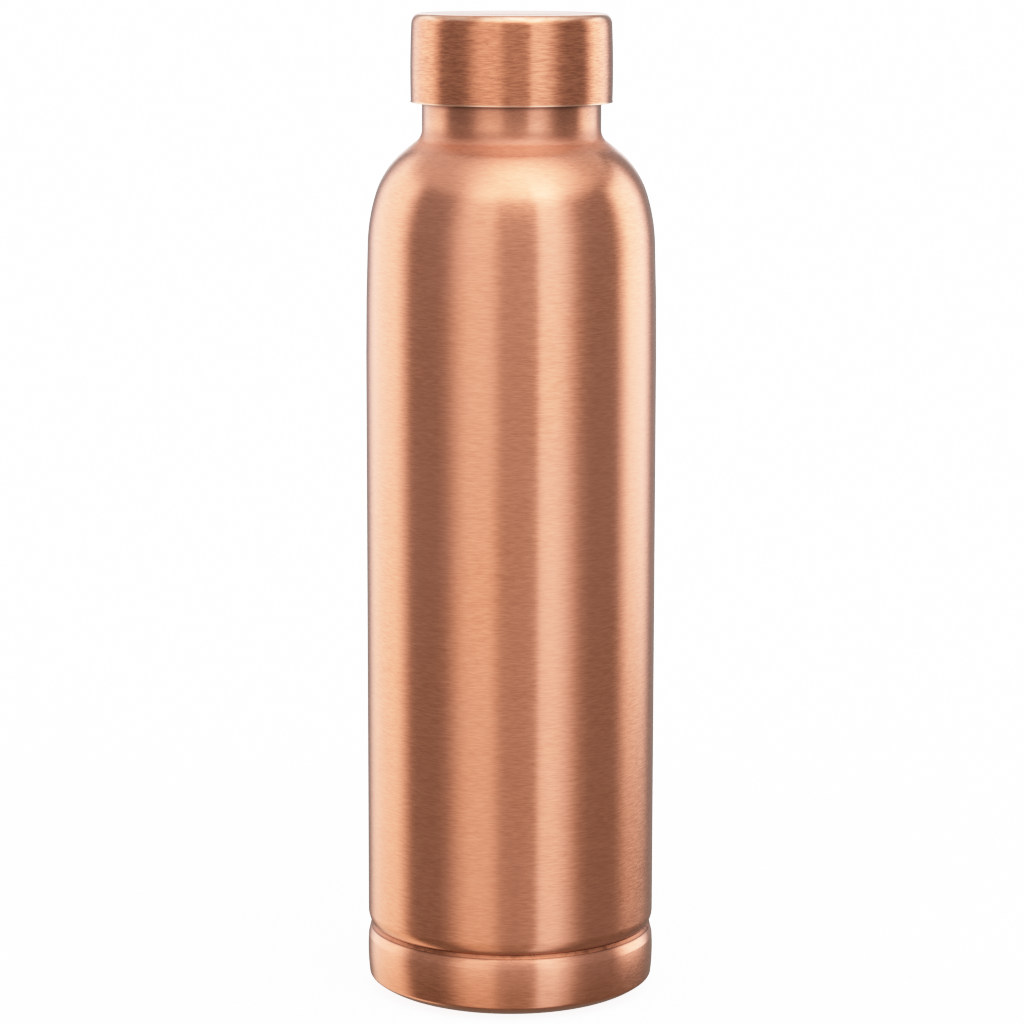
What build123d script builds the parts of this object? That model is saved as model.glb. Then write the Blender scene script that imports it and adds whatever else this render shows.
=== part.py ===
from build123d import *
import os
from math import pi

os.makedirs("parts", exist_ok=True)

# A one-litre copper water bottle with a screw cap, standing on z = 0 with its axis on Z.
# Every outline is drawn as radius and height on Plane.XZ and revolved about Z.

# Barrel, a drawn tube that is spun in at the shoulder
body_radius = 38.0
body_wall = 0.8
draft_start_z = 170.0      # the tube starts to close very slowly here
draft_radius = 840.0
draft_turn = 2.0
upper_radius = 48.0        # then in two rounder arcs up to the cone under the neck
upper_turn = 15.2
crown_radius = 23.7
crown_turn = 34.5
neck_radius = 23.3
neck_fillet = 4.0
mouth_z = 255.4            # top of the rolled lip
lip_overhang = 0.65
lip_rounding = 0.3

# Lower end of the tube, rolled in and stepped down into the base cup
roll_z = 21.0
roll_radius = 5.8
roll_turn = 36.0
step_radius = 2.0
spigot_end_z = 8.0

# Base cup, pressed from thicker sheet
base_wall = 0.85
foot_inner_radius = 25.6
foot_outer_radius = 28.4
floor_recess = 2.0
floor_edge_radius = 23.4
floor_bend = 1.2
heel_radius = 14.1         # long curve from the foot
heel_turn = 38.9
corner_radius = 1.3        # short curve up to the band
corner_turn = 44.5
band_radius = 56.0         # the band is slightly barrelled
band_turn = 10.3
lip_bend_radius = 1.2
lip_bend_turn = 9.0
rim_slope_length = 2.45
seam_inset = 0.08
seam_gap = 0.03
seam_foot_width = 0.1

# Cap, a spun copper cup
cap_rim_z = 235.6
cap_height = 22.85
cap_rim_radius = 26.2
cap_mid_radius = 26.28
cap_top_radius = 26.03
cap_wall = 0.7
cap_corner_width = 1.9
cap_corner_height = 3.1
rim_flare = 0.12
rim_flare_height = 0.6
cap_top_z = cap_rim_z + cap_height

# Thread between the neck collar and the ring inside the cap, one start, right-handed
thread_pitch = 4.0
thread_depth = 0.7
thread_root_width = 2.0
thread_crest_width = 1.1
thread_root_overlap = 0.15
thread_play = 0.25
male_thread_z = 242.0
male_turns = 2.4
female_turns = 2.5

# Brass collar on the neck
joint_gap = 0.05
collar_bottom_z = 239.0
collar_inner_radius = neck_radius + joint_gap
collar_root_radius = 23.9
collar_chamfer = 0.3
collar_top_z = mouth_z - body_wall - joint_gap

# Brass ring inside the cap
ring_bottom_z = 237.2
ring_top_z = 255.1
ring_bore_radius = collar_root_radius + thread_depth + thread_play
ring_outer_radius = cap_top_radius - cap_wall - joint_gap

# Silicone washer under the top of the cap
gasket_bottom_z = mouth_z + 0.1
gasket_top_z = cap_top_z - cap_wall - joint_gap
gasket_outer_radius = 24.0
gasket_inner_radius = 20.5
gasket_edge = 0.3


def finish(piece, name):
    piece.part.label = name
    export_step(piece.part, "parts/" + name + ".step")


def thread_profile(width_at_root, width_at_crest, inward):
    """Trapezium in the plane square to the helix, with its root sunk into the wall."""
    reach = -thread_depth if inward else thread_depth
    sink = thread_root_overlap if inward else -thread_root_overlap
    Polygon(
        (sink, -width_at_root / 2),
        (sink, width_at_root / 2),
        (reach, width_at_crest / 2),
        (reach, -width_at_crest / 2),
        align=None,
    )


# The tube: outer line from the bottom of the spigot up to the lip, thickened inwards
roll_center = (body_radius - roll_radius, roll_z)
with BuildPart() as bottle_body:
    with BuildSketch(Plane.XZ):
        with BuildLine():
            roll = CenterArc(roll_center, roll_radius, -roll_turn, roll_turn)
            step = JernArc(roll @ 0, (roll % 0) * -1, step_radius, -roll_turn)
            Line(step @ 1, ((step @ 1).X, spigot_end_z))
            barrel = Line(roll @ 1, (body_radius, draft_start_z))
            draft = JernArc(barrel @ 1, barrel % 1, draft_radius, draft_turn)
            upper = JernArc(draft @ 1, draft % 1, upper_radius, upper_turn)
            crown = JernArc(upper @ 1, upper % 1, crown_radius, crown_turn)
            neck_line = Line((neck_radius, (crown @ 1).Y), (neck_radius, mouth_z), mode=Mode.PRIVATE)
            cone = IntersectingLine(crown @ 1, crown % 1, neck_line)
            neck = Line(cone @ 1, (neck_radius, mouth_z - body_wall))
            Line(neck @ 1, (neck_radius + lip_overhang, mouth_z - body_wall))
            fillet(vertices().sort_by_distance(cone @ 1)[0], neck_fillet)
            offset(amount=body_wall, side=Side.LEFT)
        make_face()
    revolve(axis=Axis.Z)
    lip_edges = edges().filter_by(GeomType.CIRCLE).group_by(Axis.Z)[-1]
    fillet(lip_edges.sort_by(SortBy.RADIUS)[-1], lip_rounding)
finish(bottle_body, "bottle_body")

# The base cup: recessed floor, foot, heel, band and the rim that closes on the tube
with BuildPart() as base_cup:
    with BuildSketch(Plane.XZ):
        with BuildLine():
            floor_line = FilletPolyline(
                (0, floor_recess),
                (floor_edge_radius, floor_recess),
                (foot_inner_radius, 0),
                (foot_outer_radius, 0),
                radius=floor_bend,
            )
            heel = JernArc(floor_line @ 1, (1, 0), heel_radius, heel_turn)
            corner = JernArc(heel @ 1, heel % 1, corner_radius, corner_turn)
            band = JernArc(corner @ 1, corner % 1, band_radius, band_turn)
            lip_bend = JernArc(band @ 1, band % 1, lip_bend_radius, lip_bend_turn)
            rim_slope = PolarLine(lip_bend @ 1, rim_slope_length, direction=lip_bend % 1)
            Polyline(rim_slope @ 1, (0, (rim_slope @ 1).Y), (0, floor_recess))
        make_face()
    revolve(axis=Axis.Z)
    offset(amount=-base_wall, openings=faces().sort_by(Axis.Z)[-1])
finish(base_cup, "base_cup")

# Filler of the brazed seam, a small fillet between the cup's rim and the roll of the tube
rim_end = rim_slope @ 1
with BuildPart() as base_seam:
    with BuildSketch(Plane.XZ):
        Polygon(
            (rim_end.X - seam_inset, rim_end.Y + seam_gap),
            ((roll @ 0).X + seam_gap, (roll @ 0).Y - seam_gap),
            ((step @ 1).X + seam_foot_width, rim_end.Y + seam_gap),
            align=None,
        )
    revolve(axis=Axis.Z)
finish(base_seam, "base_seam")

# Brass collar with the outside thread
with BuildPart() as neck_collar:
    with BuildSketch(Plane.XY.offset(collar_bottom_z)):
        Circle(collar_root_radius)
        Circle(collar_inner_radius, mode=Mode.SUBTRACT)
    extrude(amount=collar_top_z - collar_bottom_z)
    chamfer(edges().sort_by(Axis.Z)[0:1], collar_chamfer)
    with BuildLine():
        helix = Helix(thread_pitch, thread_pitch * male_turns, collar_root_radius,
                      center=(0, 0, male_thread_z))
    with BuildSketch(Plane(origin=helix @ 0, x_dir=(1, 0, 0), z_dir=helix % 0)):
        thread_profile(thread_root_width, thread_crest_width, inward=False)
    sweep(is_frenet=True)
finish(neck_collar, "neck_collar")

# Cap shell: outer line from the rim up to the middle of the top, thickened inwards
with BuildPart() as cap_shell:
    with BuildSketch(Plane.XZ):
        with BuildLine():
            rim = Line(
                (cap_rim_radius + rim_flare, cap_rim_z),
                (cap_rim_radius, cap_rim_z + rim_flare_height),
            )
            side = ThreePointArc(
                rim @ 1,
                (cap_mid_radius, cap_rim_z + cap_height / 2),
                (cap_top_radius, cap_top_z - cap_corner_height),
            )
            corner = EllipticalCenterArc(
                (cap_top_radius - cap_corner_width, cap_top_z - cap_corner_height),
                cap_corner_width,
                cap_corner_height,
                start_angle=0,
                arc_size=90,
            )
            Polyline(corner @ 1, (0, cap_top_z), (0, cap_rim_z), rim @ 0)
        make_face()
    revolve(axis=Axis.Z)
    offset(amount=-cap_wall, openings=faces().sort_by(Axis.Z)[0])
finish(cap_shell, "cap_shell")

# Brass ring with the inside thread, half a pitch away from the collar's
with BuildPart() as cap_ring:
    with BuildSketch(Plane.XY.offset(ring_bottom_z)):
        Circle(ring_outer_radius)
        Circle(ring_bore_radius, mode=Mode.SUBTRACT)
    extrude(amount=ring_top_z - ring_bottom_z)
    with BuildLine():
        helix = Helix(thread_pitch, thread_pitch * female_turns, ring_bore_radius,
                      center=(0, 0, male_thread_z - thread_pitch / 2))
    with BuildSketch(Plane(origin=helix @ 0, x_dir=(1, 0, 0), z_dir=helix % 0)):
        thread_profile(thread_root_width, thread_crest_width, inward=True)
    sweep(is_frenet=True)
finish(cap_ring, "cap_ring")

# Silicone washer
with BuildPart() as cap_gasket:
    with BuildSketch(Plane.XY.offset(gasket_bottom_z)):
        Circle(gasket_outer_radius)
        Circle(gasket_inner_radius, mode=Mode.SUBTRACT)
    extrude(amount=gasket_top_z - gasket_bottom_z)
    fillet(edges(), gasket_edge)
finish(cap_gasket, "cap_gasket")

lift_per_radian = thread_pitch / (2 * pi)
print("lift in millimetres per radian of turn", lift_per_radian)
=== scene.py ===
from math import atan2, ceil, cos, degrees, pi, radians, sin, tan, tanh

import bpy
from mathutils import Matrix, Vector


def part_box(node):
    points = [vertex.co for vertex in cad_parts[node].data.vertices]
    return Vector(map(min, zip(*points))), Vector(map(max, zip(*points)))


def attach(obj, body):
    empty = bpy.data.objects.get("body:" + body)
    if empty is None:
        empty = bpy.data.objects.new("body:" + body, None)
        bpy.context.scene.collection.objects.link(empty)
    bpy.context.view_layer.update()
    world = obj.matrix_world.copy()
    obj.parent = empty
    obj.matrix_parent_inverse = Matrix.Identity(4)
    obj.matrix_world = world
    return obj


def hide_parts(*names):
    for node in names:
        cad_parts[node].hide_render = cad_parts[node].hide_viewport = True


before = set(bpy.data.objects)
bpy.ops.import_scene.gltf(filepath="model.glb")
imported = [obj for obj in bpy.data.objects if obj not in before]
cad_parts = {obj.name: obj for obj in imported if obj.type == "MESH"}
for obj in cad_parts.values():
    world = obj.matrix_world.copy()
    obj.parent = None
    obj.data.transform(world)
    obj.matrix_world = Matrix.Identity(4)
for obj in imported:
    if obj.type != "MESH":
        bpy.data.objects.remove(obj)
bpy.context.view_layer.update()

print("frame loaded")

mm = 0.001
hair = 0.0005 * mm     # closer than this counts as touching
tubeLow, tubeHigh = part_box("bottle_body")
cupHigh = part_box("base_cup")[1]
shellLow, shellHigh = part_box("cap_shell")
washerLow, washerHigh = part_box("cap_gasket")


# outlines are walked like a pen in the plane of radius and height, then spun round Z

def penStart(radius, height, heading):
    return {"points": [(radius, height)], "heading": heading}


def penLine(pen, length, longest=6 * mm):
    count = max(1, ceil(length / longest))
    radius, height = pen["points"][-1]
    stepR = cos(radians(pen["heading"])) * length / count
    stepZ = sin(radians(pen["heading"])) * length / count
    for i in range(1, count + 1):
        pen["points"].append((radius + stepR * i, height + stepZ * i))


def penArc(pen, bend, turn, degreesPerStep=3.0):
    count = max(2, ceil(abs(turn) / degreesPerStep))
    side = 1 if turn > 0 else -1
    radius, height = pen["points"][-1]
    start = radians(pen["heading"])
    for i in range(1, count + 1):
        now = start + radians(turn) * i / count
        pen["points"].append((
            radius + side * bend * (sin(now) - sin(start)),
            height + side * bend * (cos(start) - cos(now)),
        ))
    pen["heading"] += turn


def deselectAll():
    bpy.ops.object.select_all(action="DESELECT")


def pickOnly(piece):
    deselectAll()
    piece.select_set(True)
    bpy.context.view_layer.objects.active = piece


def extrudeRings(name, points, segments, closed=False, capEnd=False):
    # one ring of edges, extruded and scaled from place to place along the outline
    deselectAll()
    radius, height = points[0]
    bpy.ops.mesh.primitive_circle_add(vertices=segments, radius=radius, location=(0, 0, height))
    piece = bpy.context.object
    piece.name = name
    piece.data.name = name
    bpy.ops.object.transform_apply(location=True, rotation=True, scale=True)
    bpy.ops.object.mode_set(mode="EDIT")
    bpy.ops.mesh.select_mode(type="EDGE")
    bpy.ops.mesh.select_all(action="SELECT")
    for nextRadius, nextHeight in points[1:]:
        bpy.ops.mesh.extrude_edges_move(TRANSFORM_OT_translate={"value": (0, 0, nextHeight - height)})
        grow = nextRadius / radius
        bpy.ops.transform.resize(value=(grow, grow, 1), center_override=(0, 0, nextHeight))
        radius, height = nextRadius, nextHeight
    if capEnd:
        bpy.ops.mesh.edge_face_add()
    bpy.ops.mesh.select_all(action="SELECT")
    if closed:
        bpy.ops.mesh.remove_doubles(threshold=2 * hair)
    bpy.ops.mesh.normals_make_consistent(inside=False)
    bpy.ops.object.mode_set(mode="OBJECT")
    return piece


def faceOutwards(piece, point, direction):
    # the face nearest to the point has to look along the direction
    nearest = min(piece.data.polygons, key=lambda face: (face.center - Vector(point)).length)
    if nearest.normal.dot(Vector(direction)) < 0:
        pickOnly(piece)
        bpy.ops.object.mode_set(mode="EDIT")
        bpy.ops.mesh.select_all(action="SELECT")
        bpy.ops.mesh.flip_normals()
        bpy.ops.object.mode_set(mode="OBJECT")


def thicken(piece, wall):
    pickOnly(piece)
    bpy.ops.object.modifier_add(type="SOLIDIFY")
    solid = piece.modifiers[-1]
    solid.thickness = wall
    solid.offset = -1
    solid.use_even_offset = True
    solid.material_offset = 1
    bpy.ops.object.modifier_apply(modifier=solid.name)


def easeRings(piece, rings, reach, amount, segments=2):
    # bevels the sharp ring edges that lie near the given (radius, height) places
    pickOnly(piece)
    bpy.ops.object.mode_set(mode="EDIT")
    bpy.ops.mesh.select_all(action="DESELECT")
    bpy.ops.object.mode_set(mode="OBJECT")
    verts = piece.data.vertices
    for edge in piece.data.edges:
        a, b = (verts[i].co for i in edge.vertices)
        flat = abs(a.z - b.z) < hair and abs(a.xy.length - b.xy.length) < hair
        near = any(abs(a.xy.length - r) < reach and abs(a.z - z) < reach for r, z in rings)
        edge.select = flat and near
    bpy.ops.object.mode_set(mode="EDIT")
    bpy.ops.mesh.bevel(offset=amount, segments=segments, affect="EDGES")
    bpy.ops.object.mode_set(mode="OBJECT")


def smooth(piece, angle=32):
    pickOnly(piece)
    bpy.ops.object.shade_smooth_by_angle(angle=radians(angle))


# the tube: spigot, rolled end, barrel, spun shoulder, neck and lip; an arc is its bend radius, its
# turn in degrees and the degrees between its rings
tube = {
    "segments": 256,
    "wall": 0.8 * mm,
    "rollBend": 5.8 * mm,
    "rollHeight": 21.0 * mm,
    "rollTurn": 36,
    "stepBend": 2.0 * mm,
    "shoulderStart": 170 * mm,
    "shoulderArcs": ((840 * mm, 2.0, 1.0), (48 * mm, 15.2, 1.5), (23.7 * mm, 34.5, 1.5)),
    "neckRadius": 23.3 * mm,
    "neckBend": 4.0 * mm,
    "lipWidth": 0.65 * mm,
    "lipEase": 0.25 * mm,
    "lipReach": 0.1 * mm,
    "lipSteps": 3,
}


def makeTube():
    barrelRadius = tubeHigh.x
    rollTurn = tube["rollTurn"]
    bends = tube["rollBend"] + tube["stepBend"]
    pen = penStart(barrelRadius - bends * (1 - cos(radians(rollTurn))), tubeLow.z, 90)
    penLine(pen, tube["rollHeight"] - bends * sin(radians(rollTurn)) - tubeLow.z)
    penArc(pen, tube["stepBend"], -rollTurn)
    penArc(pen, tube["rollBend"], rollTurn)
    penLine(pen, tube["shoulderStart"] - tube["rollHeight"])
    for bend, turn, step in tube["shoulderArcs"]:
        penArc(pen, bend, turn, step)
    slope = pen["heading"] - 90
    radius = pen["points"][-1][0]
    corner = (radius - tube["neckRadius"]) / sin(radians(slope))
    penLine(pen, corner - tube["neckBend"] * tan(radians(slope / 2)))
    filletStart = pen["points"][-1]
    penArc(pen, tube["neckBend"], -slope)
    penLine(pen, tubeHigh.z - tube["wall"] - pen["points"][-1][1])
    pen["heading"] = 0
    penLine(pen, tube["lipWidth"])
    piece = extrudeRings("drawnTube", pen["points"], tube["segments"])
    faceOutwards(piece, (barrelRadius, 0, 0.1), (1, 0, 0))
    thicken(piece, tube["wall"])
    lipOuter = tube["neckRadius"] + tube["lipWidth"]
    lipRings = [
        (tube["neckRadius"] - tube["wall"], tubeHigh.z),
        (lipOuter, tubeHigh.z),
        (lipOuter, tubeHigh.z - tube["wall"]),
    ]
    easeRings(piece, lipRings, tube["lipReach"], tube["lipEase"], tube["lipSteps"])
    smooth(piece)
    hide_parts("bottle_body")
    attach(piece, "bottle")
    return piece, filletStart


drawnTube, filletStart = makeTube()
print("tube made")


# the base cup, pressed from one sheet; its side arcs are heel, corner, band and lip
cup = {
    "segments": 256,
    "wall": 0.85 * mm,
    "floorRise": 2.0 * mm,
    "floorRadius": 23.4 * mm,
    "footInner": 25.6 * mm,
    "footOuter": 28.4 * mm,
    "floorBend": 1.2 * mm,
    "floorStep": 6.0,
    "firstRing": 1 * mm,
    "sideArcs": (
        (14.1 * mm, 38.9, 3.0),
        (1.3 * mm, 44.5, 3.0),
        (56 * mm, 10.3, 1.5),
        (1.2 * mm, 9.0, 1.5),
    ),
    "rimLength": 2.45 * mm,
    "cutEase": 0.12 * mm,
    "cutReach": 0.05 * mm,
}


def makeCup():
    drop = cup["floorRise"]
    run = cup["footInner"] - cup["floorRadius"]
    slope = degrees(atan2(drop, run))
    short = cup["floorBend"] * tan(radians(slope / 2))
    pen = penStart(cup["firstRing"], drop, 0)
    penLine(pen, cup["floorRadius"] - short - cup["firstRing"])
    penArc(pen, cup["floorBend"], -slope, cup["floorStep"])
    penLine(pen, (drop ** 2 + run ** 2) ** 0.5 - 2 * short)
    penArc(pen, cup["floorBend"], slope, cup["floorStep"])
    penLine(pen, cup["footOuter"] - cup["footInner"] - short)
    for bend, turn, step in cup["sideArcs"]:
        penArc(pen, bend, turn, step)
    penLine(pen, cup["rimLength"])
    rings = pen["points"][::-1]
    piece = extrudeRings("baseCup", rings, cup["segments"], capEnd=True)
    faceOutwards(piece, (cupHigh.x, 0, 10 * mm), (1, 0, 0))
    thicken(piece, cup["wall"])
    easeRings(piece, [rings[0]], cup["cutReach"], cup["cutEase"])
    smooth(piece)
    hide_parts("base_cup")
    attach(piece, "bottle")
    return piece, rings


baseCup, cupRings = makeCup()
print("base cup made")


# filler of the brazed seam, a small ring between the cup's rim and the roll of the tube
seam = {
    "segments": 256,
    "inset": 0.08 * mm,
    "gap": 0.03 * mm,
    "footWidth": 0.1 * mm,
    "hollow": 0.06 * mm,
}


def makeSeam():
    rimRadius, rimHeight = cupRings[0]
    rollRadius = tubeHigh.x - tube["rollBend"] * (1 - cos(radians(tube["rollTurn"])))
    rollHeight = tube["rollHeight"] - tube["rollBend"] * sin(radians(tube["rollTurn"]))
    footRadius = rollRadius - tube["stepBend"] * (1 - cos(radians(tube["rollTurn"])))
    outer = (rimRadius - seam["inset"], rimHeight + seam["gap"])
    top = (rollRadius + seam["gap"], rollHeight - seam["gap"])
    foot = (footRadius + seam["footWidth"], rimHeight + seam["gap"])
    sag = ((outer[0] + top[0]) / 2 - seam["hollow"], (outer[1] + top[1]) / 2 - seam["hollow"])
    piece = extrudeRings("seamFillet", [outer, sag, top, foot, outer], seam["segments"], closed=True)
    smooth(piece, 60)
    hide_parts("base_seam")
    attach(piece, "bottle")
    return piece


seamFillet = makeSeam()
print("seam made")


# the cap shell, spun from one disc, with a cut rim that stands out a hair
cap = {
    "segments": 256,
    "wall": 0.7 * mm,
    "rimRadius": 26.2 * mm,
    "middleRadius": 26.28 * mm,
    "topRadius": 26.03 * mm,
    "flareHeight": 0.6 * mm,
    "cornerWidth": 1.9 * mm,
    "cornerHeight": 3.1 * mm,
    "sideRings": 12,
    "cornerRings": 10,
    "dishDepth": 0.15 * mm,
    "dishRings": 6,
    "lastRing": 1 * mm,
    "cutEase": 0.12 * mm,
    "cutReach": 0.05 * mm,
}


def makeCap():
    low = shellLow.z + cap["flareHeight"]
    high = shellHigh.z - cap["cornerHeight"]
    inner = cap["topRadius"] - cap["cornerWidth"]
    points = [(shellHigh.x, shellLow.z)]
    for i in range(cap["sideRings"] + 1):
        t = i / cap["sideRings"]
        chord = cap["rimRadius"] + (cap["topRadius"] - cap["rimRadius"]) * t
        belly = cap["middleRadius"] - (cap["rimRadius"] + cap["topRadius"]) / 2
        points.append((chord + belly * 4 * t * (1 - t), low + (high - low) * t))
    for i in range(1, cap["cornerRings"] + 1):
        a = pi / 2 * i / cap["cornerRings"]
        points.append((inner + cap["cornerWidth"] * cos(a), high + cap["cornerHeight"] * sin(a)))
    for i in range(1, cap["dishRings"]):
        t = i / cap["dishRings"]
        points.append((inner * (1 - t), shellHigh.z - cap["dishDepth"] * (1 - cos(pi * t)) / 2))
    points.append((cap["lastRing"], shellHigh.z - cap["dishDepth"]))
    piece = extrudeRings("capShell", points, cap["segments"], capEnd=True)
    faceOutwards(piece, (shellHigh.x, 0, (low + high) / 2), (1, 0, 0))
    thicken(piece, cap["wall"])
    easeRings(piece, [points[0]], cap["cutReach"], cap["cutEase"])
    smooth(piece)
    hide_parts("cap_shell")
    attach(piece, "cap")
    return piece


capShell = makeCap()
print("cap made")


# silicone washer: a soft ring with a shallow track where the lip presses
washer = {
    "segments": 128,
    "outer": 24.0 * mm,
    "inner": 20.5 * mm,
    "edge": 0.35 * mm,
    "edgeSteps": 4,
    "trackFrom": 22.4 * mm,
    "trackTo": 23.6 * mm,
    "trackSlope": 0.2 * mm,
    "trackDepth": 0.12 * mm,
}


def makeWasher():
    edge = washer["edge"]
    low, high = washerLow.z, washerHigh.z
    points = [(washer["trackTo"], low)]
    corners = (
        (washer["outer"] - edge, low + edge, -90),
        (washer["outer"] - edge, high - edge, 0),
        (washer["inner"] + edge, high - edge, 90),
        (washer["inner"] + edge, low + edge, 180),
    )
    for r, z, start in corners:
        for i in range(washer["edgeSteps"] + 1):
            a = radians(start + 90 * i / washer["edgeSteps"])
            points.append((r + edge * cos(a), z + edge * sin(a)))
    track = low + washer["trackDepth"]
    points += [(washer["trackFrom"], low), (washer["trackFrom"] + washer["trackSlope"], track)]
    points += [(washer["trackTo"] - washer["trackSlope"], track), (washer["trackTo"], low)]
    piece = extrudeRings("washer", points, washer["segments"], closed=True)
    smooth(piece, 50)
    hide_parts("cap_gasket")
    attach(piece, "gasket")
    return piece


capWasher = makeWasher()
print("washer made")


# shader groups: each gives masks or values that change over the surface

def newGroup(name, inputs, outputs):
    group = bpy.data.node_groups.new(name, "ShaderNodeTree")
    for title, value in inputs.items():
        socket = group.interface.new_socket(title, in_out="INPUT", socket_type="NodeSocketFloat")
        socket.default_value = value
    for title in outputs:
        group.interface.new_socket(title, in_out="OUTPUT", socket_type="NodeSocketFloat")
    return group, group.nodes.new("NodeGroupInput"), group.nodes.new("NodeGroupOutput")


def feed(tree, socket, value):
    if isinstance(value, bpy.types.NodeSocket):
        tree.links.new(value, socket)
    else:
        socket.default_value = value


def calc(tree, operation, a, b=None, clamp=False):
    node = tree.nodes.new("ShaderNodeMath")
    node.operation = operation
    node.use_clamp = clamp
    feed(tree, node.inputs[0], a)
    if b is not None:
        feed(tree, node.inputs[1], b)
    return node.outputs[0]


def rescale(tree, value, fromLow, fromHigh, toLow=0.0, toHigh=1.0):
    node = tree.nodes.new("ShaderNodeMapRange")
    node.interpolation_type = "SMOOTHSTEP"
    for title, number in (("Value", value), ("From Min", fromLow), ("From Max", fromHigh),
                          ("To Min", toLow), ("To Max", toHigh)):
        feed(tree, node.inputs[title], number)
    return node.outputs["Result"]


def mixColors(tree, factor, a, b):
    node = tree.nodes.new("ShaderNodeMix")
    node.data_type = "RGBA"
    feed(tree, node.inputs["Factor"], factor)
    feed(tree, node.inputs["A"], a)
    feed(tree, node.inputs["B"], b)
    return node.outputs["Result"]


def objectPlace(tree):
    # x, y, z of the surface and its distance from the axis
    coords = tree.nodes.new("ShaderNodeTexCoord")
    split = tree.nodes.new("ShaderNodeSeparateXYZ")
    tree.links.new(coords.outputs["Object"], split.inputs[0])
    x, y, z = split.outputs
    squares = calc(tree, "ADD", calc(tree, "MULTIPLY", x, x), calc(tree, "MULTIPLY", y, y))
    return x, y, z, calc(tree, "SQRT", squares)


def noiseAt(tree, x, y, z, w=None, detail=3.0, roughness=0.6):
    join = tree.nodes.new("ShaderNodeCombineXYZ")
    for socket, value in zip(join.inputs, (x, y, z)):
        feed(tree, socket, value)
    noise = tree.nodes.new("ShaderNodeTexNoise")
    noise.noise_dimensions = "3D" if w is None else "4D"
    noise.inputs["Scale"].default_value = 1.0
    noise.inputs["Detail"].default_value = detail
    noise.inputs["Roughness"].default_value = roughness
    tree.links.new(join.outputs[0], noise.inputs["Vector"])
    if w is not None:
        feed(tree, noise.inputs["W"], w)
    return noise.outputs[0]


def makeTurnedGrain():
    # marks that run round the axis: Fineness is lines per metre, Stroke how often they break off
    tree, given, result = newGroup(
        "turnedGrain", {"Fineness": 2500.0, "Stroke": 8.0, "Offset": 0.0}, ["Grain"])
    x, y, z, radius = objectPlace(tree)
    safe = calc(tree, "MAXIMUM", radius, 0.5 * mm)
    stroke, fine = given.outputs["Stroke"], given.outputs["Fineness"]
    aroundX = calc(tree, "MULTIPLY", calc(tree, "DIVIDE", x, safe), stroke)
    aroundY = calc(tree, "MULTIPLY", calc(tree, "DIVIDE", y, safe), stroke)
    up = calc(tree, "ADD", calc(tree, "MULTIPLY", z, fine), given.outputs["Offset"])
    out = calc(tree, "MULTIPLY", radius, fine)
    grain = noiseAt(tree, aroundX, aroundY, up, out, 3.0, 0.55)
    tree.links.new(grain, result.inputs["Grain"])
    return tree


def makeRingWearAndShade():
    # a broken band round the ring at Radius and Height, used for rubbed wear, matte rings and painted
    # shade; patches per metre, across and up
    across, up = 180, 600
    tree, given, result = newGroup(
        "ringWearAndShade", {"Radius": 0.03, "Height": 0.0, "Reach": 0.001, "Breakup": 0.5}, ["Mask"])
    x, y, z, radius = objectPlace(tree)
    away = calc(tree, "SUBTRACT", radius, given.outputs["Radius"])
    above = calc(tree, "SUBTRACT", z, given.outputs["Height"])
    gap = calc(tree, "SQRT", calc(tree, "ADD", calc(tree, "MULTIPLY", away, away),
                                  calc(tree, "MULTIPLY", above, above)))
    near = rescale(tree, calc(tree, "DIVIDE", gap, given.outputs["Reach"]), 0.0, 1.0, 1.0, 0.0)
    patchy = noiseAt(tree, calc(tree, "MULTIPLY", x, across), calc(tree, "MULTIPLY", y, across),
                     calc(tree, "MULTIPLY", z, up), None, 4.0, 0.6)
    gate = rescale(tree, patchy, 0.3, 0.62)
    kept = calc(tree, "ADD", calc(tree, "MULTIPLY", gate, given.outputs["Breakup"]),
                calc(tree, "SUBTRACT", 1.0, given.outputs["Breakup"]))
    tree.links.new(calc(tree, "MULTIPLY", near, kept), result.inputs["Mask"])
    return tree


def makeClouds():
    # slow patches, from handling and from uneven lacquer
    tree, given, result = newGroup(
        "slowClouds", {"Scale": 40.0, "Stretch": 0.5, "Offset": 0.0}, ["Mask"])
    x, y, z, radius = objectPlace(tree)
    scale = given.outputs["Scale"]
    up = calc(tree, "MULTIPLY", calc(tree, "MULTIPLY", z, scale), given.outputs["Stretch"])
    cloud = noiseAt(tree, calc(tree, "MULTIPLY", x, scale), calc(tree, "MULTIPLY", y, scale),
                    calc(tree, "ADD", up, given.outputs["Offset"]), None, 3.0, 0.5)
    tree.links.new(rescale(tree, cloud, 0.32, 0.68), result.inputs["Mask"])
    return tree


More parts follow.
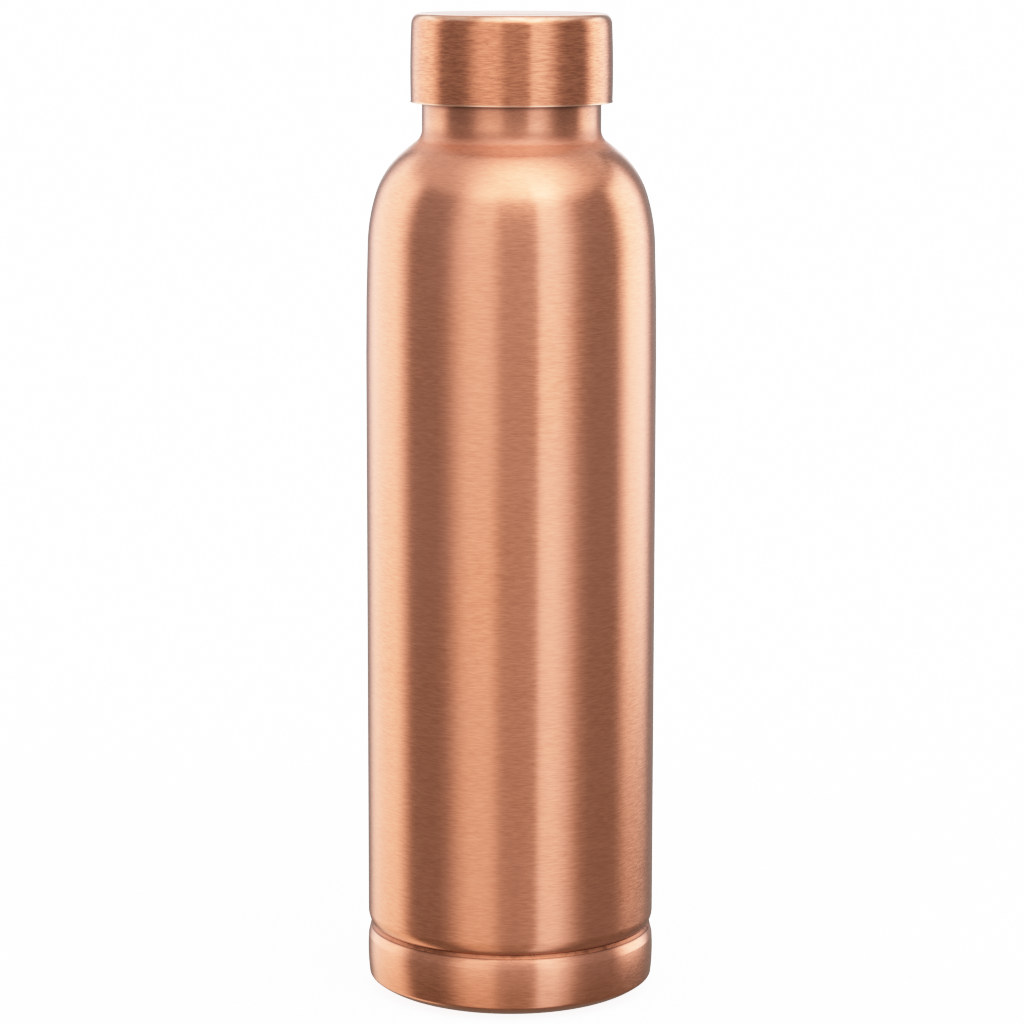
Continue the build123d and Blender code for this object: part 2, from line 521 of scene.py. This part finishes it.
def makeSlantMarks():
    # fine scratches that lean across the turning marks, between Low and High, in patches
    patchScale = 90
    tree, given, result = newGroup(
        "slantMarks",
        {"Slant": 0.35, "Fineness": 2600.0, "Length": 120.0, "Low": 0.0, "High": 1.0, "Fade": 0.002},
        ["Mask"])
    x, y, z, radius = objectPlace(tree)
    along = calc(tree, "MULTIPLY", calc(tree, "ARCTAN2", x, calc(tree, "MULTIPLY", y, -1.0)), radius)
    c, s = calc(tree, "COSINE", given.outputs["Slant"]), calc(tree, "SINE", given.outputs["Slant"])
    u = calc(tree, "ADD", calc(tree, "MULTIPLY", along, c), calc(tree, "MULTIPLY", z, s))
    v = calc(tree, "SUBTRACT", calc(tree, "MULTIPLY", z, c), calc(tree, "MULTIPLY", along, s))
    marks = noiseAt(tree, calc(tree, "MULTIPLY", u, given.outputs["Length"]),
                    calc(tree, "MULTIPLY", v, given.outputs["Fineness"]), 0.0, None, 2.0, 0.5)
    lowFade = calc(tree, "ADD", given.outputs["Low"], given.outputs["Fade"])
    highFade = calc(tree, "SUBTRACT", given.outputs["High"], given.outputs["Fade"])
    window = calc(tree, "MULTIPLY", rescale(tree, z, given.outputs["Low"], lowFade),
                  rescale(tree, z, highFade, given.outputs["High"], 1.0, 0.0))
    px, py, pz = (calc(tree, "MULTIPLY", part, patchScale) for part in (x, y, z))
    patches = noiseAt(tree, px, py, pz, None, 2.0, 0.5)
    lines = calc(tree, "MULTIPLY", rescale(tree, marks, 0.56, 0.7), rescale(tree, patches, 0.45, 0.6))
    tree.links.new(calc(tree, "MULTIPLY", lines, window), result.inputs["Mask"])
    return tree


turnedGrain = makeTurnedGrain()
ringWearAndShade = makeRingWearAndShade()
slowClouds = makeClouds()
slantMarks = makeSlantMarks()


def place(tree, group, **values):
    node = tree.nodes.new("ShaderNodeGroup")
    node.node_tree = group
    for title, value in values.items():
        feed(tree, node.inputs[title], value)
    return node.outputs[0]


def newMaterial(name):
    material = bpy.data.materials.new(name)
    material.use_nodes = True
    tree = material.node_tree
    shader = tree.nodes["Principled BSDF"]
    return material, tree, shader


def addBump(tree, shader, relief, depth):
    bump = tree.nodes.new("ShaderNodeBump")
    bump.inputs["Distance"].default_value = depth
    feed(tree, bump.inputs["Height"], relief)
    feed(tree, shader.inputs["Normal"], bump.outputs["Normal"])


def makeMetal(shader, anisotropy):
    # the grain runs round the axis, a quarter turn from the shader's own direction
    quarterTurn = 0.25
    shader.inputs["Metallic"].default_value = 1.0
    shader.inputs["Anisotropic"].default_value = anisotropy
    shader.inputs["Anisotropic Rotation"].default_value = quarterTurn


# brushed, lacquered copper: one recipe, with each piece's own values
copper = {
    "pink": (0.88, 0.36, 0.24, 1),
    "rubbed": (1.0, 0.66, 0.47, 1),
    "dark": (0.13, 0.042, 0.022, 1),
    "roughness": 0.20,
    "roughSpread": 0.05,
    "anisotropy": 0.63,
    "coat": 0.5,
    "coatRoughness": 0.07,
    "coatIor": 1.5,
    "clouds": {"Scale": 30.0, "Stretch": 0.6},
    "patches": {"Scale": 75.0, "Stretch": 1.5},
    "patchOffset": 3,
    "patchRange": (0.35, 0.9),
    "cloudRoughness": 0.03,
    "paintedShadeRoughness": 0.15,
    "scratchRoughness": 0.08,
    "scratchDark": 0.3,
    "wearGloss": 0.05,
}
# layers of turning marks: fineness and stroke as shares of the finish's own, an offset, the range of
# noise that shows, and each layer's share of the tone
grainLayers = {
    "fine": {"fineness": 1, "stroke": 1, "offset": 0, "range": (0.3, 0.7), "share": 0.78},
    "streaks": {"fineness": 1 / 2.6, "stroke": 1 / 4, "offset": 5, "range": (0.32, 0.68), "share": 0.15},
    "bands": {"fineness": 1 / 11, "stroke": 1 / 22, "offset": 9, "range": (0.35, 0.65), "share": 0.07},
    "ticks": {"fineness": 0.5, "stroke": 1.6, "offset": 14, "range": (0.6, 0.74), "share": 0},
}
# shade is how deep the marks are coloured, scuffs the dark ticks, warmth the pink patches
bodyFinish = {"bright": (0.99, 0.38, 0.21, 1), "deep": (0.62, 0.19, 0.09, 1), "fineness": 3600.0,
              "stroke": 15.0, "grainDepth": 0.001, "shade": 0.76, "scuffs": 0.05, "warmth": 0.4,
              "offset": 3.0}
capFinish = {"bright": (0.95, 0.335, 0.165, 1), "deep": (0.50, 0.145, 0.065, 1), "fineness": 3700.0,
             "stroke": 10.0, "grainDepth": 0.002, "shade": 1.1, "scuffs": 0.8, "warmth": 0.08,
             "offset": 11.0}


def copperMaterial(name, finish, wearRings=(), paintedShadeRings=(), matteRings=(), slant=None):
    material, tree, shader = newMaterial(name)
    offset = finish["offset"]
    marks, shown, tone = {}, {}, 0.0
    for layerName, layer in grainLayers.items():
        marks[layerName] = place(
            tree, turnedGrain, Fineness=finish["fineness"] * layer["fineness"],
            Stroke=finish["stroke"] * layer["stroke"], Offset=offset + layer["offset"])
        shown[layerName] = rescale(tree, marks[layerName], *layer["range"])
        if layer["share"]:
            part = calc(tree, "MULTIPLY", shown[layerName], layer["share"])
            tone = calc(tree, "ADD", tone, part)
    clouds = place(tree, slowClouds, Offset=offset, **copper["clouds"])
    shadeFactor = calc(tree, "MULTIPLY", calc(tree, "SUBTRACT", 1.0, tone), finish["shade"], True)
    color = mixColors(tree, shadeFactor, finish["bright"], finish["deep"])
    color = mixColors(tree, calc(tree, "MULTIPLY", clouds, finish["warmth"]), color, copper["pink"])
    patchy = place(tree, slowClouds, Offset=offset + copper["patchOffset"], **copper["patches"])
    patchy = rescale(tree, patchy, *copper["patchRange"])
    scuffMask = calc(tree, "MULTIPLY", shown["ticks"], finish["scuffs"])
    color = mixColors(tree, calc(tree, "MULTIPLY", scuffMask, patchy), color, copper["dark"])

    rough = calc(tree, "ADD", copper["roughness"] - copper["roughSpread"] / 2,
                 calc(tree, "MULTIPLY", tone, copper["roughSpread"]))
    rough = calc(tree, "ADD", rough, calc(tree, "MULTIPLY", clouds, copper["cloudRoughness"]))
    # painted shade: dark bands where shadow falls, under the cap's rim and in creases, with a little
    # added roughness
    for radius, height, reach, breakup, amount in paintedShadeRings:
        darkening = place(tree, ringWearAndShade, Radius=radius, Height=height, Reach=reach, Breakup=breakup)
        darkening = calc(tree, "MULTIPLY", darkening, amount)
        color = mixColors(tree, darkening, color, copper["dark"])
        rough = calc(tree, "ADD", rough, calc(tree, "MULTIPLY", darkening, copper["paintedShadeRoughness"]))
    for radius, height, reach, breakup, amount in wearRings:
        wear = place(tree, ringWearAndShade, Radius=radius, Height=height, Reach=reach, Breakup=breakup)
        wear = calc(tree, "MULTIPLY", wear, amount)
        color = mixColors(tree, wear, color, copper["rubbed"])
        rough = calc(tree, "SUBTRACT", rough, calc(tree, "MULTIPLY", wear, copper["wearGloss"]))
    for radius, height, reach, breakup, amount in matteRings:
        matte = place(tree, ringWearAndShade, Radius=radius, Height=height, Reach=reach, Breakup=breakup)
        rough = calc(tree, "ADD", rough, calc(tree, "MULTIPLY", matte, amount))
    relief = calc(tree, "ADD", marks["fine"], marks["streaks"])
    if slant:
        scratch = place(tree, slantMarks, **slant)
        darker = calc(tree, "MULTIPLY", scratch, copper["scratchDark"])
        color = mixColors(tree, darker, color, copper["dark"])
        relief = calc(tree, "SUBTRACT", relief, scratch)
        rough = calc(tree, "ADD", rough, calc(tree, "MULTIPLY", scratch, copper["scratchRoughness"]))
    feed(tree, shader.inputs["Base Color"], color)
    feed(tree, shader.inputs["Roughness"], rough)
    addBump(tree, shader, relief, finish["grainDepth"] * mm)

    makeMetal(shader, copper["anisotropy"])
    shader.inputs["Coat Weight"].default_value = copper["coat"]
    shader.inputs["Coat Roughness"].default_value = copper["coatRoughness"]
    shader.inputs["Coat IOR"].default_value = copper["coatIor"]
    return material


def dress(piece, *materials):
    # first material outside, second inside the sheet
    piece.data.materials.clear()
    for material in materials:
        piece.data.materials.append(material)


# rings on the metal: radius, height, reach, breakup and amount of the rubbed band, and of the painted
# shade band for the dark rings; for a matte ring the amount is added roughness
rimRadius, rimHeight = cupRings[0]
rollFoot = tube["rollHeight"] - tube["rollBend"] * sin(radians(tube["rollTurn"]))
rollInset = tubeHigh.x - tube["rollBend"] * (1 - cos(radians(tube["rollTurn"])))
tubeCopper = copperMaterial(
    "copperTube", bodyFinish,
    # painted shadow of the cap: a dark line just under its rim and a broad fade down the neck; painted
    # shade in the fillet at the foot of the neck and in the crease at the foot of the roll
    paintedShadeRings=[
        (tube["neckRadius"], shellLow.z + 0.2 * mm, 1.7 * mm, 0.15, 1.0),
        (tube["neckRadius"], shellLow.z, 10 * mm, 0.2, 0.42),
        (tube["neckRadius"] + 0.6 * mm, filletStart[1] + 2.4 * mm, 2.4 * mm, 0.1, 0.4),
        (rollInset, rollFoot, 0.5 * mm, 0.4, 0.6),
    ],
    matteRings=[(filletStart[0], filletStart[1] + 0.5 * mm, 5.5 * mm, 0.0, 0.3)],
    slant={"Slant": 0.33, "Low": 228 * mm, "High": 236 * mm, "Fade": 2.5 * mm})
cupCopper = copperMaterial(
    "copperBase", bodyFinish,
    wearRings=[(cup["footOuter"], 0.0, 2.2 * mm, 0.5, 0.6)],
    # painted shade in the crease of the groove at the cup's rim
    paintedShadeRings=[(rimRadius, rimHeight, 0.5 * mm, 0.3, 0.7)])
capCopper = copperMaterial(
    "copperCap", capFinish,
    wearRings=[
        (shellHigh.x, shellLow.z, 0.55 * mm, 0.25, 1.0),
        (cap["topRadius"] - 0.6 * mm, shellHigh.z - 0.6 * mm, 1.3 * mm, 0.7, 0.7),
    ])


# metal without lacquer: duller copper inside, and turned brass for the two thread rings
inside = {
    "grain": {"Fineness": 900.0, "Stroke": 3.0, "Offset": 21.0},
    "clouds": {"Scale": 55.0, "Stretch": 1.0, "Offset": 4.0},
    "light": (0.86, 0.38, 0.24, 1),
    "deep": (0.74, 0.28, 0.16, 1),
    "darkening": (0.50, 0.18, 0.10, 1),
    "stains": 0.3,
    "roughness": (0.34, 0.46),
    "relief": 0.01 * mm,
    "anisotropy": 0.5,
}
brass = {
    "grain": {"Fineness": 3200.0, "Stroke": 4.0, "Offset": 31.0},
    "clouds": {"Scale": 120.0, "Stretch": 1.0, "Offset": 8.0},
    "light": (0.90, 0.60, 0.26, 1),
    "deep": (0.68, 0.41, 0.15, 1),
    "darkening": (0.52, 0.29, 0.10, 1),
    "stains": 0.3,
    "roughness": (0.20, 0.32),
    "relief": 0.006 * mm,
    "anisotropy": 0.4,
}
grainRange = (0.3, 0.7)


def bareMetal(name, look):
    material, tree, shader = newMaterial(name)
    grain = place(tree, turnedGrain, **look["grain"])
    stains = place(tree, slowClouds, **look["clouds"])
    color = mixColors(tree, rescale(tree, grain, *grainRange), look["deep"], look["light"])
    color = mixColors(tree, calc(tree, "MULTIPLY", stains, look["stains"]), color, look["darkening"])
    feed(tree, shader.inputs["Base Color"], color)
    feed(tree, shader.inputs["Roughness"], rescale(tree, grain, *grainRange, *look["roughness"]))
    addBump(tree, shader, grain, look["relief"])
    makeMetal(shader, look["anisotropy"])
    return material


# copper brazing filler: satin, slightly lumpy, with painted shade in the crease where it meets the rim
# of the cup
filler = {
    "lumps": {"Scale": 420.0, "Stretch": 1.0, "Offset": 2.0},
    "light": (0.46, 0.155, 0.08, 1),
    "deep": (0.34, 0.11, 0.055, 1),
    "creaseReach": 0.42 * mm,
    "creaseBreakup": 0.3,
    "crease": 0.85,
    "roughness": (0.24, 0.34),
    "relief": 0.02 * mm,
}


def fillerMaterial():
    material, tree, shader = newMaterial("brazingFiller")
    lumps = place(tree, slowClouds, **filler["lumps"])
    color = mixColors(tree, lumps, filler["deep"], filler["light"])
    # painted shade: a dark line along the crease at the cup's rim
    line = place(tree, ringWearAndShade, Radius=rimRadius, Height=rimHeight, Reach=filler["creaseReach"],
                 Breakup=filler["creaseBreakup"])
    color = mixColors(tree, calc(tree, "MULTIPLY", line, filler["crease"]), color, copper["dark"])
    feed(tree, shader.inputs["Base Color"], color)
    feed(tree, shader.inputs["Roughness"], rescale(tree, lumps, 0.0, 1.0, *filler["roughness"]))
    addBump(tree, shader, lumps, filler["relief"])
    shader.inputs["Metallic"].default_value = 1.0
    return material


# food grade silicone: pale, soft, a little light goes through
silicone = {
    "dust": {"Scale": 700.0, "Stretch": 1.0, "Offset": 6.0},
    "light": (0.86, 0.85, 0.83, 1),
    "deep": (0.78, 0.77, 0.74, 1),
    "roughness": (0.42, 0.55),
    "relief": 0.01 * mm,
    "glowThrough": 0.25,
    "glowDepth": 2 * mm,
}


def siliconeMaterial():
    material, tree, shader = newMaterial("whiteSilicone")
    dust = place(tree, slowClouds, **silicone["dust"])
    color = mixColors(tree, dust, silicone["deep"], silicone["light"])
    feed(tree, shader.inputs["Base Color"], color)
    feed(tree, shader.inputs["Roughness"], rescale(tree, dust, 0.0, 1.0, *silicone["roughness"]))
    addBump(tree, shader, dust, silicone["relief"])
    shader.inputs["Subsurface Weight"].default_value = silicone["glowThrough"]
    shader.inputs["Subsurface Scale"].default_value = silicone["glowDepth"]
    return material


insideCopper = bareMetal("copperInside", inside)
dress(drawnTube, tubeCopper, insideCopper)
dress(baseCup, cupCopper, insideCopper)
dress(capShell, capCopper, insideCopper)
dress(seamFillet, fillerMaterial())
dress(capWasher, siliconeMaterial())
turnedBrass = bareMetal("turnedBrass", brass)
for nodeName in ("neck_collar", "cap_ring"):
    dress(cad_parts[nodeName], turnedBrass)
print("materials made")


# plain pale floor, clear from below; it is not seen in the metal, where the soft boxes reach down
floor = {"size": 30.0, "color": (0.88, 0.88, 0.875, 1), "roughness": 0.9, "gloss": 0.1, "glow": 1.7}


def makeFloor():
    deselectAll()
    bpy.ops.mesh.primitive_plane_add(size=floor["size"], location=(0, 0, 0))
    ground = bpy.context.object
    ground.name = "paleFloor"
    material, tree, shader = newMaterial("palePaper")
    shader.inputs["Base Color"].default_value = floor["color"]
    shader.inputs["Roughness"].default_value = floor["roughness"]
    shader.inputs["Specular IOR Level"].default_value = floor["gloss"]
    shader.inputs["Emission Color"].default_value = floor["color"]
    shader.inputs["Emission Strength"].default_value = floor["glow"]
    below = tree.nodes.new("ShaderNodeNewGeometry").outputs["Backfacing"]
    feed(tree, shader.inputs["Alpha"], calc(tree, "SUBTRACT", 1.0, below))
    ground.data.materials.append(material)
    ground.visible_glossy = False
    ground.visible_diffuse = False
    ground.visible_shadow = False


makeFloor()

# soft boxes round the bottle, in degrees: from and to are counted from the camera's side, to the
# right, low and high are above the horizon; softness is how far each edge fades, cool how much of the
# box's light is daylight
softBoxes = {
    "leftBack": {"from": -148, "to": -95, "softness": (26, 22), "low": -60, "high": 34, "glow": 1.65},
    "leftFront": {"from": -42, "to": -12, "softness": (22, 14), "low": -60, "high": 50, "glow": 0.72},
    "front": {"from": -52, "to": 57, "softness": (20, 20), "low": -60, "high": 50, "glow": 0.28},
    "rightFront": {"from": 21.5, "to": 45, "softness": (5, 24), "low": -60, "high": 50, "glow": 1.13,
                   "cool": 1.0},
    "rightBack": {"from": 100, "to": 137, "softness": (22, 24), "low": -12, "high": 29, "glow": 2.1,
                  "cool": 0.3},
    "ceiling": {"from": -200, "to": 200, "softness": (4, 4), "low": 36, "high": 110, "glow": 0.45},
    "backdropLeft": {"from": -200, "to": -168, "softness": (4, 16), "low": 2, "high": 40, "glow": 1.5},
    "backdropRight": {"from": 168, "to": 200, "softness": (16, 4), "low": 2, "high": 40, "glow": 1.5},
}
# one round lamp high in front, and how the light fades and warms towards the table; seen is the
# backdrop's own glow
lamp = {"turn": 22, "rise": 60, "core": 3, "reach": 55, "low": 30, "glow": 2.0}
studio = {"fill": 0.33, "lowEdge": 6, "highEdge": 14, "tableFrom": -24, "tableTo": -4,
          "tableFade": 0.62, "highFade": 1.05, "tint": (1.0, 0.985, 0.985, 1),
          "tableTint": (1.0, 0.86, 0.70, 1), "coolTint": (0.99, 1.09, 1.2, 1), "seen": 2.4}


def makeWorld():
    world = bpy.data.worlds.new("softStudio")
    bpy.context.scene.world = world
    world.use_nodes = True
    tree = world.node_tree
    look = tree.nodes.new("ShaderNodeTexCoord").outputs["Generated"]
    split = tree.nodes.new("ShaderNodeSeparateXYZ")
    tree.links.new(look, split.inputs[0])
    x, y, z = split.outputs
    turn = calc(tree, "MULTIPLY", calc(tree, "ARCTAN2", x, calc(tree, "MULTIPLY", y, -1.0)), degrees(1))
    rise = calc(tree, "MULTIPLY", calc(tree, "ARCSINE", z), degrees(1))

    def between(value, low, high, lowEdge, highEdge):
        up = rescale(tree, value, low - lowEdge / 2, low + lowEdge / 2)
        down = rescale(tree, value, high - highEdge / 2, high + highEdge / 2, 1.0, 0.0)
        return calc(tree, "MULTIPLY", up, down)

    light, cool = studio["fill"], 0.0
    for box in softBoxes.values():
        wide = between(turn, box["from"], box["to"], *box["softness"])
        tall = between(rise, box["low"], box["high"], studio["lowEdge"], studio["highEdge"])
        shape = calc(tree, "MULTIPLY", calc(tree, "MULTIPLY", wide, tall), box["glow"])
        light = calc(tree, "ADD", shape, light)
        cool = calc(tree, "ADD", calc(tree, "MULTIPLY", shape, box.get("cool", 0.0)), cool)

    lampTurn, lampRise = radians(lamp["turn"]), radians(lamp["rise"])
    aim = (sin(lampTurn) * cos(lampRise), -cos(lampTurn) * cos(lampRise), sin(lampRise))
    along = 0.0
    for part, share in zip((x, y, z), aim):
        along = calc(tree, "ADD", calc(tree, "MULTIPLY", part, share), along)
    away = calc(tree, "MULTIPLY", calc(tree, "ARCCOSINE", along), degrees(1))
    glare = rescale(tree, away, lamp["core"], lamp["reach"], lamp["glow"], 0.0)
    edge = studio["highEdge"] / 2
    glare = calc(tree, "MULTIPLY", glare, rescale(tree, rise, lamp["low"] - edge, lamp["low"] + edge))
    light = calc(tree, "ADD", glare, light)
    cool = calc(tree, "DIVIDE", cool, light)
    tableFrom, tableTo = studio["tableFrom"], studio["tableTo"]
    fade = rescale(tree, rise, tableFrom, tableTo, studio["tableFade"], studio["highFade"])
    light = calc(tree, "MULTIPLY", light, fade)

    seen = tree.nodes.new("ShaderNodeLightPath").outputs["Is Camera Ray"]
    strength = calc(tree, "ADD", calc(tree, "MULTIPLY", seen, studio["seen"]),
                    calc(tree, "MULTIPLY", calc(tree, "SUBTRACT", 1.0, seen), light))
    air = tree.nodes["Background"]
    warm = rescale(tree, rise, tableFrom, tableTo)
    warm = calc(tree, "MAXIMUM", warm, seen)
    tint = mixColors(tree, warm, studio["tableTint"], studio["tint"])
    coolShare = calc(tree, "MULTIPLY", cool, calc(tree, "SUBTRACT", 1.0, seen))
    feed(tree, air.inputs["Color"], mixColors(tree, coolShare, tint, studio["coolTint"]))
    feed(tree, air.inputs["Strength"], strength)


makeWorld()
print("studio made")

# camera a metre in front of the bottle, a little above its middle and looking slightly down
view = {"place": (0.00002, -0.9694, 0.2859), "pitch": 80.745, "roll": -0.093, "lens": 130.9,
        "sensor": 36.0}


def makeCamera():
    data = bpy.data.cameras.new("frontCamera")
    data.lens = view["lens"]
    data.sensor_width = view["sensor"]
    camera = bpy.data.objects.new("frontCamera", data)
    camera.location = view["place"]
    camera.rotation_euler = (radians(view["pitch"]), radians(view["roll"]), 0)
    bpy.context.scene.collection.objects.link(camera)
    bpy.context.scene.camera = camera


makeCamera()

# soft film shoulder: bright metal rolls off instead of clipping
film = {"white": 3.0, "points": 9, "spacing": 1.5, "allChannels": 3}


def setFilm():
    settings = bpy.context.scene.view_settings
    settings.view_transform = "Standard"
    settings.use_curve_mapping = True
    curves = settings.curve_mapping
    curves.white_level = (film["white"],) * 3
    curves.extend = "HORIZONTAL"
    points = curves.curves[film["allChannels"]].points
    for i in range(1, film["points"]):
        share = (i / film["points"]) ** film["spacing"]
        points.new(share, tanh(share * film["white"]))
    curves.update()


setFilm()
